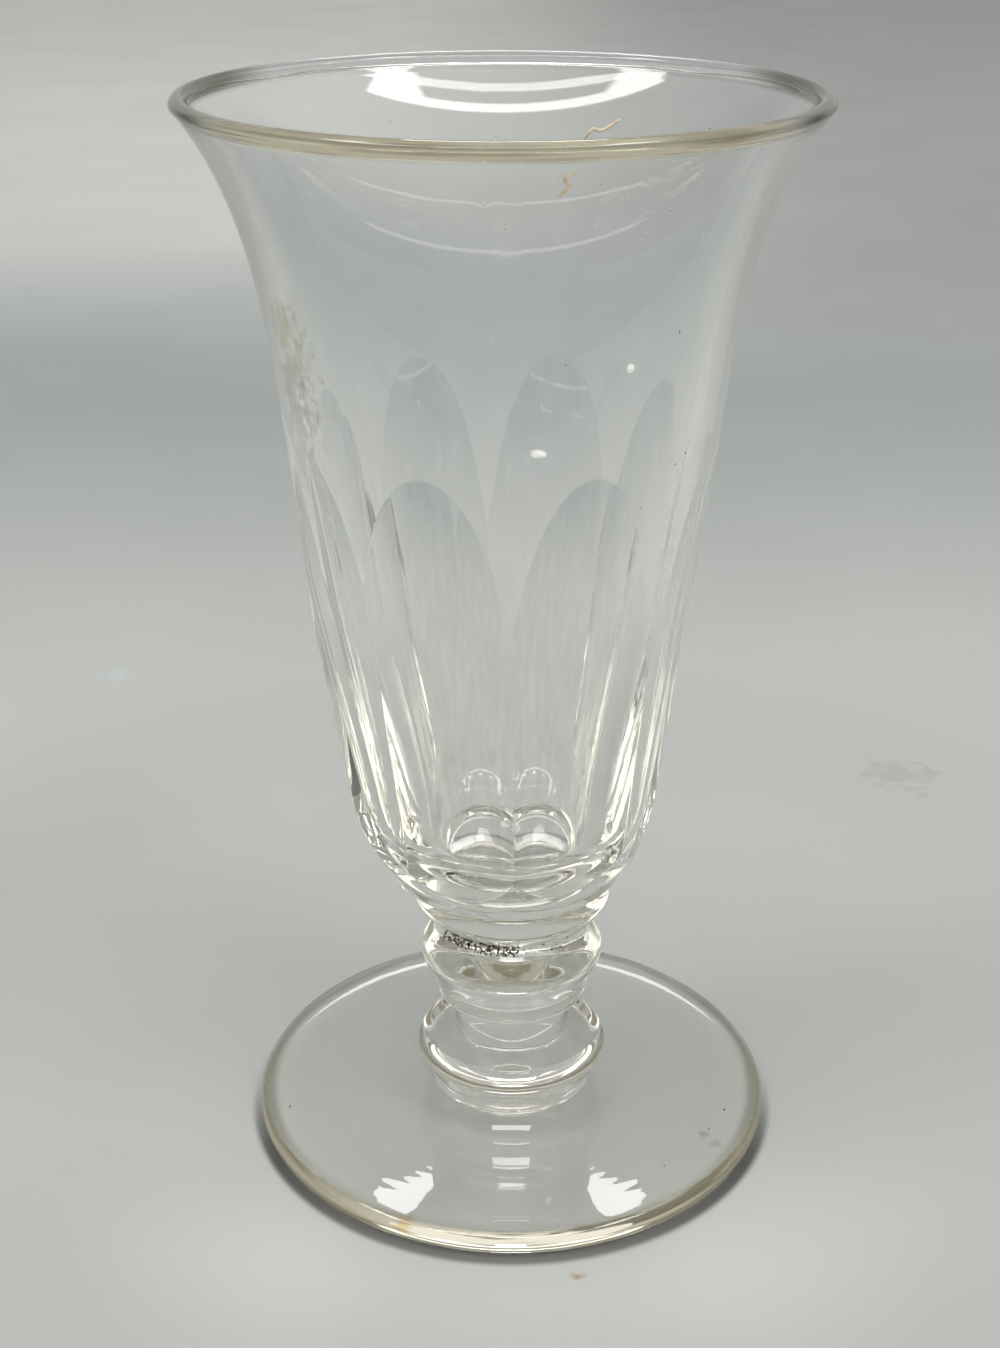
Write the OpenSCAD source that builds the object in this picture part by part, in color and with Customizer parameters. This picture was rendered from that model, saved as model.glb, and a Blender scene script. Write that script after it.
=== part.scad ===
// Jelly glass: a heavy clear glass cup on a short knopped stem and a round foot.
// The flared bowl is cut with a row of flutes that end above in round arches.
// Axes: +Z is up, the photograph looks along +Y, and the foot's contact ring rests on Z = 0.
// The bowl turns about the Z axis. The stem and the foot stand a little off it, as in the photograph.

/* [Whole glass] */
// Overall height, from the table to the top of the lip
height = 115; // [106:0.5:126]
// How far the stem and the foot stand to the right of the bowl's axis
stem_off = 1.1; // [0:0.1:1.5]

/* [Bowl outside] */
// Outer diameter at the lip
rim_d = 62.9; // [58:0.1:66]
// Outer diameter where the flutes' ridges begin, at the shoulder
shoulder_d = 40.8; // [40:0.1:43]
// Height of the shoulder above the table
shoulder_z = 66; // [64:0.5:68]
// How far the radius grows from shoulder to lip as a plain cone, before the flare is added
cone_rise = 5; // [4.4:0.1:5.6]
// Sharpness of the flare: a higher number keeps it nearer the lip
flare_power = 5.2; // [4.5:0.1:6]
// Greatest diameter of the rounded lower bowl before cutting
belly_d = 38.6; // [38.6:0.1:40]
// Height of that greatest diameter
belly_z = 51; // [50:0.5:52]
// Radius of the lower bowl's curve
belly_curve = 32; // [31.5:0.5:34]
// Rounding of the bowl's bottom edge
base_round = 1.5; // [1.2:0.1:1.8]
// Outer radius of the bowl's flat bottom
base_r = 11.2; // [10.8:0.1:11.4]

/* [Bowl inside] */
// Thickness of the wall at the lip
wall_top = 1.2; // [1:0.1:1.7]
// Thickness of the wall at the shoulder, where the cutting needs more glass
wall_mid = 3.2; // [3:0.1:4]
// Thickness of the rounded lip
lip_t = 1.8; // [1.5:0.1:2.2]
// Height of the bowl's inner bottom above the table
floor_z = 32.1; // [31.6:0.1:34]
// Radius of the bowl's inside where its rounded bottom begins
floor_r = 11.7; // [10.5:0.1:12.2]
// Height over which the rounded bottom curves up to that radius
floor_rise = 9; // [8:0.1:10]

/* [Flutes] */
// Number of flutes round the bowl
flutes = 8; // [7:1:9]
// Turn of the ridge nearest the front, from the front towards the right
flute_turn = 2.5; // [0:0.5:22.5]
// Height of a flute's lower end
flute_low_z = 34.5; // [34:0.1:35.5]
// Height of the top of a flute's arch
flute_top_z = 83; // [80:0.5:86]
// Distance of a flute's lower end from the bowl's axis
flute_low_r = 14.75; // [14.5:0.05:14.9]
// How far a flute leans outward over its length, as a straight cut
flute_lean = 6.4; // [6.3:0.05:6.6]

/* [Stem] */
// Radius of the collar under the bowl
collar_r = 11; // [10.7:0.1:11.3]
// Height of the collar, from the crevice below it to the bowl
collar_h = 5.6; // [5.3:0.1:5.8]
// Rounding of the collar
collar_round = 1.4; // [1.2:0.1:1.6]
// Radius of the crevice between the collar and the upper knop
crevice_r = 8.1; // [7.6:0.1:8.4]
// Radius of the upper knop
upper_r = 10.3; // [9.8:0.1:10.8]
// Rounding of the upper knop
upper_round = 2.2; // [1.7:0.1:2.5]
// Radius of the small ring under the upper knop
ring_r = 8.65; // [8.3:0.05:8.95]
// Rounding of the small ring
ring_round = 0.95; // [0.8:0.05:1.05]
// Radius of the neck between the two knops
neck_r = 6.6; // [6:0.1:7]
// Radius of the lower knop
lower_r = 10.85; // [10.2:0.05:11.5]
// Rounding of the lower knop
lower_round = 1.9; // [1.5:0.1:2.2]
// Height of the bottom of the lower knop above the foot's upper edge
root_h = 0.85; // [0.6:0.05:1.2]

/* [Foot] */
// Diameter of the foot
foot_d = 58.9; // [55:0.1:65]
// Thickness of the foot at its rounded edge
foot_t = 2.9; // [2.6:0.1:3.2]
// Radius of the stem where it stands on the foot
root_r = 8.8; // [8.2:0.1:9.3]
// Width of the flat ring on which the foot rests
rest_w = 2.4; // [1.8:0.1:3.2]
// Height of the shallow hollow inside that ring
hollow_h = 0.6; // [0.3:0.1:1]

/* [Hidden] */
$fn = 96;
// Heights of the stem's parts, from the foot up
root_z = foot_t + root_h;
lower_mid = 7.7;
neck_z = 10.3;
ring_z = 14.6;
ring_mid = 15.7;
upper_z = 16.6;
upper_mid = 20.6;
crevice_z = 24.8;
collar_mid = 28;
bowl_z = crevice_z + collar_h;
// Centre of the lip's round section
lip_z = height - lip_t / 2;
lip_r = rim_d / 2 - lip_t / 2;
shoulder_r = shoulder_d / 2;
belly_r = belly_d / 2;
flare = rim_d / 2 - shoulder_r - cone_rise;
// Centre of the rounding at the bowl's bottom edge, on the lower bowl's own curve
base_z = bowl_z + base_round + 0.4;
base_c = belly_r - belly_curve + sqrt(pow(belly_curve - base_round, 2) - pow(belly_z - base_z, 2));
base_a = asin((belly_z - base_z) / (belly_curve - base_round));
base_top = belly_z - belly_curve * sin(base_a);
// Extra sweep that brings a flute out to the uncut bowl at its arch
flute_sweep = upper(flute_top_z) - flute_low_r - flute_lean;
floor_c = floor_z + floor_rise;
// Where the inner wall leaves the rounded bottom: it leans out about one in five there
floor_slope = 0.21;
floor_a = -atan(floor_slope * floor_rise / floor_r);
leave_r = floor_r * cos(floor_a);
leave_z = floor_c + floor_rise * sin(floor_a);
inner_slope = (cone_rise + wall_mid - wall_top) / (lip_z - shoulder_z);
far = 60;

// Heights between the shoulder and the lip, closer together towards the flare
function rise(t) = shoulder_z + (lip_z - shoulder_z) * (1 - pow(1 - t, 1.35));
// Radius of the uncut bowl between the shoulder and the lip
function upper(z) = let (t = (z - shoulder_z) / (lip_z - shoulder_z))
  shoulder_r + cone_rise * t + flare * pow(max(t, 0), flare_power);
// Radius of the uncut bowl below its greatest diameter, an arc
function belly(z) = belly_r - belly_curve + sqrt(pow(belly_curve, 2) - pow(belly_z - z, 2));
// Radius of the bowl's inner wall above the shoulder
function inner_up(z) = let (t = (z - shoulder_z) / (lip_z - shoulder_z))
  upper(z) - wall_mid + (wall_mid - wall_top) * t;
// Point on the rounded inner bottom, a flattened round, at an angle below the level of its centre
function bottom(a) = [floor_r * cos(a), floor_c + floor_rise * sin(a)];
// Radius of the inner wall below the shoulder: one smooth sweep from the rounded bottom
function inner_low(z) = let (d = shoulder_z - leave_z, t = (z - leave_z) / d)
  leave_r * (2 * pow(t, 3) - 3 * pow(t, 2) + 1)
  + floor_slope * d * (pow(t, 3) - 2 * pow(t, 2) + t)
  + inner_up(shoulder_z) * (3 * pow(t, 2) - 2 * pow(t, 3))
  + inner_slope * d * (pow(t, 3) - pow(t, 2));
// Distance of a flute's flat from the bowl's axis at a height: straight below, swept out towards the arch
function cut(z) = let (t = (z - flute_low_z) / (flute_top_z - flute_low_z))
  flute_low_r + flute_lean * t + flute_sweep * pow(max(t, 0), 5);
// Point where a straight line from p touches a circle about c; side is 1 or -1
function touch(p, c, r, side) = let (d = p - c, a = atan2(d[1], d[0]) + side * acos(r / norm(d)))
  c + r * [cos(a), sin(a)];

// Half outline of one turned swelling between two creases, rounded to a radius
module knop(low, high, mid_z, r, rr) {
  c = [r - rr, mid_z];
  polygon([
    [0, low[1]],
    low,
    touch(low, c, rr, 1),
    c,
    touch(high, c, rr, -1),
    high,
    [0, high[1]]
  ]);
  translate(c)
    circle(rr);
}

// Half outline of the foot, with its flat ring and shallow hollow
module foot_outline() {
  edge = foot_d / 2 - foot_t / 2;
  polygon([
    [0, hollow_h],
    [edge - rest_w, 0],
    [edge, 0],
    [edge, foot_t],
    [root_r, root_z],
    [0, root_z]
  ]);
  translate([edge, foot_t / 2])
    circle(foot_t / 2);
}

// Foot, two knops, ring, neck and collar, turned about one axis
module stem() {
  rotate_extrude() {
    foot_outline();
    knop([root_r, root_z - 0.05], [neck_r + 0.1, neck_z], lower_mid, lower_r, lower_round);
    translate([0, neck_z - 0.1])
      square([neck_r, ring_z - neck_z + 0.3]);
    knop([neck_r + 0.6, ring_z], [ring_r - 0.2, upper_z + 0.1], ring_mid, ring_r, ring_round);
    knop([ring_r - 0.2, upper_z], [crevice_r + 0.1, crevice_z], upper_mid, upper_r, upper_round);
    knop([crevice_r, crevice_z - 0.1], [collar_r - 0.2, bowl_z + 0.3], collar_mid, collar_r, collar_round);
  }
}

// Uncut bowl, solid
module bowl_body() {
  c = [base_c, base_z];
  low = [base_r, bowl_z];
  rotate_extrude() {
    polygon(concat(
      [[0, bowl_z], low, touch(low, c, base_round, 1), c],
      [for (i = [0:8]) let (z = base_top + (belly_z - base_top) * i / 8) [belly(z), z]],
      [for (i = [0:18]) let (z = rise(i / 18)) [upper(z), z]],
      [[0, lip_z]]
    ));
    translate(c)
      circle(base_round);
    translate([lip_r, lip_z])
      circle(lip_t / 2);
  }
}

// The space inside the bowl
module bowl_space() {
  rotate_extrude() {
    difference() {
      polygon(concat(
        [[0, floor_z]],
        [for (i = [1:14]) bottom(-90 + (floor_a + 90) * i / 14)],
        [for (i = [1:10]) let (z = leave_z + (shoulder_z - leave_z) * i / 10) [inner_low(z), z]],
        [for (i = [1:16]) let (z = rise(i / 16)) [inner_up(z), z]],
        [[inner_up(lip_z), height + 1], [0, height + 1]]
      ));
      translate([lip_r, lip_z])
        circle(lip_t / 2);
    }
  }
}

// One flute's waste: all that lies outside the wheel's path
module flute() {
  rotate([90, 0, 0])
    linear_extrude(2 * shoulder_r, center = true)
      polygon(concat(
        [[cut(flute_low_z - 3), flute_low_z - 3], [cut(48), 48]],
        [for (i = [0:14]) let (z = 54 + (flute_top_z + 2 - 54) * i / 14) [cut(z), z]],
        [[far, flute_top_z + 2], [far, flute_low_z - 3]]
      ));
}

module bowl() {
  difference() {
    bowl_body();
    for (k = [0:flutes - 1])
      rotate(flute_turn - 90 + (k + 0.5) * 360 / flutes)
        flute();
  }
}

module jelly_glass() {
  color([0.86, 0.88, 0.86, 0.35])
    difference() {
      union() {
        bowl();
        translate([stem_off, 0, 0])
          stem();
      }
      bowl_space();
    }
}

jelly_glass();
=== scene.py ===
"""Looks of the jelly glass: a clear cup with cut flutes, on a knopped stem and a round foot.

The sizes, the marks, the patches and the camera are in millimetres and degrees. The other lengths of the
finishes, the floor and the lamps are in metres. Azimuth 0 is the front, towards the camera, and grows
towards the photograph's right. Meshes are written in metres, in the frame of the model.

A span whose name ends in _x, _y, _z, _in or _out says where a mask begins and where it is full: a place in
metres on a surface, or a direction in the room. Any other span holds noise values, or the two ends of a
search, a size, a gain or a weight.
"""

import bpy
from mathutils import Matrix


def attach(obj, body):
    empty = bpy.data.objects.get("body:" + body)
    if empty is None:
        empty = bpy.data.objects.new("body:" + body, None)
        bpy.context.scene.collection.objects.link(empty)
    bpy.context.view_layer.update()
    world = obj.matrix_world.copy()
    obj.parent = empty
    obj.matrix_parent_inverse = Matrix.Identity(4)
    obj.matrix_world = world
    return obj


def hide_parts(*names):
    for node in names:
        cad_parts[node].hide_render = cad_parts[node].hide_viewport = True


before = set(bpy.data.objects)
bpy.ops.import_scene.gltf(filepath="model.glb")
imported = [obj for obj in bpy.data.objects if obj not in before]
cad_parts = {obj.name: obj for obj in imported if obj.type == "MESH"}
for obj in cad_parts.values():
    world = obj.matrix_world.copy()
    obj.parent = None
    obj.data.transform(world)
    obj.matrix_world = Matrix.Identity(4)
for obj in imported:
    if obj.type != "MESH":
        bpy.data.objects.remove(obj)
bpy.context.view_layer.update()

import logging
import math
from dataclasses import dataclass, field
from enum import Enum
from typing import Sequence

import bpy
import numpy as np
from mathutils import Vector

log = logging.getLogger("jelly_glass")
MM = 0.001
Rgb = tuple[float, float, float]
Place = tuple[float, float, float]
Point = tuple[float, float]
Span = tuple[float, float]
Socket = bpy.types.NodeSocket


class Zone(Enum):
    """Parts of the glass's surface that are finished differently."""

    FOOT = 0
    STEM = 1
    FLUTES = 2
    FLARE = 3
    INSIDE = 4


@dataclass(frozen=True)
class FootSizes:
    """Round foot with a rounded edge, standing on a narrow ring."""

    radius: float = 29.45
    thickness: float = 2.9
    rest_width: float = 2.4
    hollow: float = 0.6
    root_r: float = 8.8
    root_z: float = 3.75


@dataclass(frozen=True)
class Knop:
    """One turned swelling of the stem: two creases and a rounded belly between them."""

    low: Point
    high: Point
    middle_z: float
    radius: float
    rounding: float


@dataclass(frozen=True)
class StemSizes:
    """Stem, from the foot up to the bowl, off the bowl's axis by a little."""

    off: float = 1.1
    neck_r: float = 6.6
    lower: Knop = Knop((8.8, 3.75), (6.75, 10.25), 7.7, 10.85, 1.9)
    ring: Knop = Knop((7.1, 14.65), (8.45, 16.65), 15.7, 8.65, 0.95)
    upper: Knop = Knop((8.45, 16.75), (8.2, 24.75), 20.6, 10.3, 2.2)
    collar: Knop = Knop((8.15, 24.85), (10.83, 30.35), 28.0, 11.0, 1.4)


@dataclass(frozen=True)
class BowlSizes:
    """Outside of the bowl before cutting."""

    height: float = 115.0
    rim_r: float = 31.45
    lip: float = 0.9
    shoulder_r: float = 20.4
    shoulder_z: float = 66.0
    cone_rise: float = 5.0
    flare_power: float = 5.2
    belly_r: float = 19.3
    belly_z: float = 51.0
    belly_curve: float = 32.0
    base_r: float = 11.2
    base_z: float = 30.4
    base_round: float = 1.5
    bend: float = 0.45
    bend_low: float = 36.0
    bend_high: float = 64.0

    @property
    def lip_z(self) -> float:
        """Height of the centre of the lip's rounded section."""
        return self.height - self.lip

    def bend_at(self, z: np.ndarray) -> np.ndarray:
        """How far the hand-made bowl's middle drifts to the right at a height."""
        t = np.clip((self.bend_high - z) / (self.bend_high - self.bend_low), 0.0, 1.0)
        return self.bend * t * t * (3.0 - 2.0 * t)

    def uncut(self, z: np.ndarray) -> np.ndarray:
        """Radius of the bowl before its flutes are cut.

        Args:
            z: Heights.

        Returns:
            The radius at each height.
        """
        z = np.asarray(z, float)
        t = np.clip((z - self.shoulder_z) / (self.lip_z - self.shoulder_z), 0.0, 1.0)
        flare = self.rim_r - self.shoulder_r - self.cone_rise
        upper = self.shoulder_r + self.cone_rise * t + flare * t ** self.flare_power
        side = (z - self.belly_z) / (self.shoulder_z - self.belly_z)
        middle = self.belly_r + (self.shoulder_r - self.belly_r) * side
        under = self.belly_curve ** 2 - (self.belly_z - np.minimum(z, self.belly_z)) ** 2
        belly = self.belly_r - self.belly_curve + np.sqrt(np.maximum(under, 0.0))
        return np.where(z >= self.shoulder_z, upper, np.where(z >= self.belly_z, middle, belly))


@dataclass(frozen=True)
class CavitySizes:
    """Inside of the bowl: a rounded bottom and a wall that leans out from it."""

    wall_top: float = 1.2
    wall_mid: float = 3.2
    floor_z: float = 32.1
    floor_r: float = 11.7
    floor_rise: float = 9.0
    floor_slope: float = 0.21

    @property
    def leave_angle(self) -> float:
        """Angle on the rounded bottom at which the wall leaves it, in degrees."""
        return -math.degrees(math.atan(self.floor_slope * self.floor_rise / self.floor_r))

    def bottom(self, angle: float) -> Point:
        """Point on the rounded bottom, at an angle from the level of its centre."""
        turn = math.radians(angle)
        return self.floor_r * math.cos(turn), self.floor_z + self.floor_rise * (1 + math.sin(turn))


@dataclass(frozen=True)
class FluteSizes:
    """Cut flutes: where each one faces and how much deeper or shallower the hand cut it."""

    low_z: float = 34.5
    top_z: float = 83.0
    low_r: float = 14.75
    lean: float = 6.4
    facing: tuple[float, ...] = (-58.8, -19.6, 23.1, 71.7, 117.0, 162.6, 208.2, 254.0)
    deeper: tuple[float, ...] = (0.0, 0.2, -0.15, 0.0, -0.1, 0.1, -0.05, 0.0)

    def distance(self, z: np.ndarray, sweep: float, which: int) -> np.ndarray:
        """Distance of one flute's flat from the axis at a height.

        Args:
            z: Heights.
            sweep: How far the flute sweeps out at its arch, beyond its straight lean.
            which: Number of the flute.

        Returns:
            The distances.
        """
        t = (z - self.low_z) / (self.top_z - self.low_z)
        fade = 1.0 - np.clip(t, 0.0, 1.0) ** 2
        straight = self.low_r + self.lean * t + sweep * np.maximum(t, 0.0) ** 5
        return straight - self.deeper[which] * fade


@dataclass
class Row:
    """One ring of the glass's surface: a radius, a height and a middle for each column."""

    radius: np.ndarray
    height: np.ndarray
    middle: np.ndarray
    zone: Zone


def ease_corners(points: Sequence[Point], reach: float = 0.16, least: float = 14.0) -> list[Point]:
    """Rounds each sharp corner of an outline a little, as fire and wear do.

    Args:
        points: Outline as radius and height.
        reach: How far each way the rounding goes.
        least: Corners that turn less than this are left alone.

    Returns:
        The eased outline.
    """
    out = [points[0]]
    for a, b, c in zip(points, points[1:], points[2:]):
        u, v = Vector(b) - Vector(a), Vector(c) - Vector(b)
        if u.length < 1e-6 or v.length < 1e-6 or math.degrees(u.angle(v, 0.0)) < least:
            out.append(b)
            continue
        near = Vector(b) - u.normalized() * min(reach, u.length * 0.4)
        far = Vector(b) + v.normalized() * min(reach, v.length * 0.4)
        for t in (0.0, 0.33, 0.67, 1.0):
            p = near * (1 - t) ** 2 + Vector(b) * 2 * t * (1 - t) + far * t * t
            out.append((p.x, p.y))
    out.append(points[-1])
    return out


def even_steps(points: Sequence[Point], longest: float) -> list[Point]:
    """Splits the long straights of an outline.

    Args:
        points: Outline as radius and height.
        longest: Greatest length of a step.

    Returns:
        The outline with its added points.
    """
    out = [points[0]]
    for a, b in zip(points, points[1:]):
        n = max(1, math.ceil(math.dist(a, b) / longest))
        out += [(a[0] + (b[0] - a[0]) * i / n, a[1] + (b[1] - a[1]) * i / n) for i in range(1, n + 1)]
    return out


def arc(centre: Point, radius: float, start: float, end: float, steps: int) -> list[Point]:
    """Points along an arc, angles in degrees."""
    turn = [math.radians(start + (end - start) * i / steps) for i in range(steps + 1)]
    return [(centre[0] + radius * math.cos(a), centre[1] + radius * math.sin(a)) for a in turn]


def knop_outline(knop: Knop, steps: int = 12) -> list[Point]:
    """Outline of one swelling, with straight sides that touch its rounded belly.

    Args:
        knop: Sizes of the swelling.
        steps: Number of steps along its rounding.

    Returns:
        Its outline as radius and height.
    """
    centre = (knop.radius - knop.rounding, knop.middle_z)

    def touch(p: Point, side: int) -> float:
        """Angle at which a straight line from p touches the rounding."""
        dx, dz = p[0] - centre[0], p[1] - centre[1]
        return math.degrees(math.atan2(dz, dx) + side * math.acos(knop.rounding / math.hypot(dx, dz)))

    start, end = touch(knop.low, 1), touch(knop.high, -1)
    return [knop.low, *arc(centre, knop.rounding, start, end, steps), knop.high]


def new_piece(name: str, verts: Sequence, faces: Sequence, finish: bpy.types.Material | None = None,
              smooth: bool = True) -> bpy.types.Object:
    """Makes a mesh object at the origin and links it to the scene.

    Args:
        name: Name of the object and of its mesh.
        verts: Points, in metres.
        faces: Faces, each as the numbers of its points.
        finish: Material, where the piece has one from the start.
        smooth: Whether the faces are shaded smooth.

    Returns:
        The object.
    """
    mesh = bpy.data.meshes.new(name)
    mesh.from_pydata(verts, [], faces)
    mesh.polygons.foreach_set("use_smooth", [smooth] * len(faces))
    if finish:
        mesh.materials.append(finish)
    piece = bpy.data.objects.new(name, mesh)
    bpy.context.scene.collection.objects.link(piece)
    return piece


@dataclass
class GlassBody:
    """The whole glass as one closed skin: foot, stem, cut bowl, lip and inside."""

    foot: FootSizes = field(default_factory=FootSizes)
    stem: StemSizes = field(default_factory=StemSizes)
    bowl: BowlSizes = field(default_factory=BowlSizes)
    cavity: CavitySizes = field(default_factory=CavitySizes)
    flutes: FluteSizes = field(default_factory=FluteSizes)
    columns_each: int = 24
    ridge_ease: float = 0.011
    arch_search: Span = (58.0, 92.0)
    scallop_search: Span = (46.0, 32.6)
    halvings: int = 44
    longest_step: float = 0.7
    flute_rows_count: int = 54
    flare_rows_count: int = 46
    lip_steps: int = 22
    wall_steps: int = 44
    low_wall_steps: int = 30
    bottom_steps: int = 24
    bottom_end: float = -88.5

    def __post_init__(self) -> None:
        """Works out where the columns stand and where the flutes begin and end on each."""
        n = self.columns_each
        e = self.ridge_ease
        inner = [e + (1 - 2 * e) * i / (n - 2) for i in range(n - 1)]
        self.share = np.tile(np.r_[0.0, inner], self.count)
        self.sector = np.repeat(np.arange(self.count), n)
        sizes = self.flutes
        self.sweep = float(self.bowl.uncut(sizes.top_z)) - sizes.low_r - sizes.lean
        self.arch_z = self._crossing(*self.arch_search)
        self.scallop_z = self._crossing(*self.scallop_search)

    @property
    def count(self) -> int:
        """Number of flutes."""
        return len(self.flutes.facing)

    def _ridge(self, z: np.ndarray, which: np.ndarray) -> np.ndarray:
        """Azimuth of the ridge between a flute and the one before it.

        Args:
            z: Height of each column.
            which: Number of the flute at each column.

        Returns:
            The ridge's azimuth for each column, in radians.
        """
        faces = np.radians(self.flutes.facing)
        a, b = faces[(which - 1) % self.count], faces[which % self.count]
        dist = np.stack([self.flutes.distance(z, self.sweep, k) for k in range(self.count)])
        cols = np.arange(len(z))
        p, q = dist[(which - 1) % self.count, cols], dist[which % self.count, cols]
        det = np.sin(b - a)
        x, y = (p * np.sin(b) - q * np.sin(a)) / det, (q * np.cos(a) - p * np.cos(b)) / det
        return np.arctan2(y, x)

    def azimuth(self, z: np.ndarray) -> np.ndarray:
        """Azimuth of every column at its own height; the ridges keep their columns.

        Args:
            z: Height of each column.

        Returns:
            The azimuths, in radians.
        """
        z = np.clip(z, self.flutes.low_z, self.flutes.top_z)
        start = self._ridge(z, self.sector)
        end = self._ridge(z, self.sector + 1)
        gap = np.mod(end - start, 2 * math.pi)
        return start + gap * self.share

    def fluted(self, z: np.ndarray) -> np.ndarray:
        """Radius of the flutes' flats.

        Args:
            z: Height of each column.

        Returns:
            The radius at each column.
        """
        az = self.azimuth(z)
        faces = np.radians(self.flutes.facing)[self.sector]
        dist = np.stack([self.flutes.distance(z, self.sweep, k) for k in range(self.count)])
        return dist[self.sector, np.arange(len(z))] / np.cos(az - faces)

    def _crossing(self, inner: float, outer: float) -> np.ndarray:
        """Height at which the flutes run out of the uncut bowl.

        Args:
            inner: A height at which every column is cut.
            outer: A height at which none is.

        Returns:
            The height on each column.
        """
        lo = np.full(len(self.share), inner)
        hi = np.full(len(self.share), outer)
        for _ in range(self.halvings):
            mid = (lo + hi) / 2
            cut = self.fluted(mid) < self.bowl.uncut(mid)
            lo, hi = np.where(cut, mid, lo), np.where(cut, hi, mid)
        return (lo + hi) / 2

    def _turned(self, points: Sequence[Point], middle: float, zone: Zone) -> list[Row]:
        """Rows of a turned part."""
        one = np.ones(len(self.share))
        return [Row(one * r, one * z, one * middle, zone) for r, z in points]

    def foot_rows(self) -> list[Row]:
        """Underside, contact ring, rounded edge and top of the foot.

        Returns:
            The foot's rows, from the middle of the underside out and up to the stem.
        """
        s = self.foot
        edge = s.radius - s.thickness / 2
        under = even_steps([(0.6, s.hollow), (edge - s.rest_width, 0.0), (edge, 0.0)], 3.0)
        rim = arc((edge, s.thickness / 2), s.thickness / 2, -90, 90, 16)
        top = even_steps([rim[-1], (s.root_r + 1.2, s.root_z - 0.04), (s.root_r, s.root_z)], 2.4)
        return self._turned(ease_corners(under + rim[1:] + top[1:-1], 0.2, 1.0), self.stem.off, Zone.FOOT)

    def stem_rows(self) -> list[Row]:
        """Lower knop, neck, ring, upper knop and collar.

        Returns:
            The stem's rows, from the foot up.
        """
        s = self.stem
        neck = [(s.neck_r, s.lower.high[1]), (s.neck_r, s.ring.low[1])]
        line = [*knop_outline(s.lower), *neck, *knop_outline(s.ring, 8), *knop_outline(s.upper),
                *knop_outline(s.collar)]
        line = [p for i, p in enumerate(line) if i == 0 or math.dist(p, line[i - 1]) > 0.02]
        return self._turned(even_steps(ease_corners(line), self.longest_step), s.off, Zone.STEM)

    def bowl_rows(self) -> list[Row]:
        """Rounded base, cut flutes and flare up to the lip.

        Returns:
            The rows of the bowl's outside, from the stem up.
        """
        b = self.bowl
        turn_z = b.base_z + b.base_round + 0.4
        turn_r = float(b.uncut(turn_z)) - b.base_round * 1.02
        start = math.degrees(math.atan2(b.base_z - turn_z, b.base_r - turn_r)
                             + math.acos(b.base_round / math.hypot(b.base_r - turn_r, b.base_z - turn_z)))
        base = [(b.base_r, b.base_z), *arc((turn_r, turn_z), b.base_round, start, -32, 6)]
        rows = self._turned(ease_corners(base, 0.1), b.bend, Zone.FLARE)
        low = np.full(len(self.share), base[-1][1])
        under = [i / 6 for i in range(1, 6)] + [0.97]
        n, m = self.flute_rows_count, self.flare_rows_count
        cut = [0.0, 0.004, 0.012, *(0.012 + 0.976 * i / n for i in range(1, n)), 0.988, 0.996, 1.0]
        over = [0.004, 0.012, *(0.012 + 0.988 * (1 - (1 - i / m) ** 1.35) for i in range(1, m + 1))]
        for t in under:
            z = low + (self.scallop_z - low) * t
            rows.append(Row(b.uncut(z), z, b.bend_at(z), Zone.FLARE))
        for t in cut:
            z = self.scallop_z + (self.arch_z - self.scallop_z) * t
            rows.append(Row(self.fluted(z), z, b.bend_at(z), Zone.FLUTES))
        for t in over:
            z = self.arch_z + (b.lip_z - self.arch_z) * t
            rows.append(Row(b.uncut(z), z, b.bend_at(z), Zone.FLARE))
        return rows

    def inner_radius(self, z: float) -> float:
        """Radius of the inner wall.

        Args:
            z: Height.

        Returns:
            The radius.
        """
        b, c = self.bowl, self.cavity
        span = b.lip_z - b.shoulder_z
        if z >= b.shoulder_z:
            t = (z - b.shoulder_z) / span
            return float(b.uncut(z)) - c.wall_mid + (c.wall_mid - c.wall_top) * t
        leave_r, leave_z = c.bottom(c.leave_angle)
        d = b.shoulder_z - leave_z
        t = (z - leave_z) / d
        slope = (b.cone_rise + c.wall_mid - c.wall_top) / span
        return (leave_r * (2 * t ** 3 - 3 * t ** 2 + 1) + c.floor_slope * d * (t ** 3 - 2 * t ** 2 + t)
                + (b.shoulder_r - c.wall_mid) * (3 * t ** 2 - 2 * t ** 3) + slope * d * (t ** 3 - t ** 2))

    def inside_rows(self) -> list[Row]:
        """Rounded lip, inner wall and rounded floor.

        Returns:
            The rows of the inside, from the lip down to the middle of the floor.
        """
        b, c = self.bowl, self.cavity
        lip = arc((b.rim_r - b.lip, b.lip_z), b.lip, 0, 216, self.lip_steps)[1:]
        leave_z = c.bottom(c.leave_angle)[1]
        top = lip[-1][1] - 0.12
        up, low, turns = self.wall_steps, self.low_wall_steps, self.bottom_steps
        wall = [top - (top - b.shoulder_z) * (i / up) ** 1.3 for i in range(up + 1)]
        wall += [b.shoulder_z - (b.shoulder_z - leave_z) * i / low for i in range(1, low + 1)]
        side = [(self.inner_radius(z), z) for z in wall]
        span = self.bottom_end - c.leave_angle
        floor = [c.bottom(c.leave_angle + span * i / turns) for i in range(1, turns + 1)]
        line = ease_corners([*lip, *side, *floor], 0.1)
        one = np.ones(len(self.share))
        return [Row(one * r, one * z, b.bend_at(one * z), Zone.INSIDE) for r, z in line]

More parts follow.
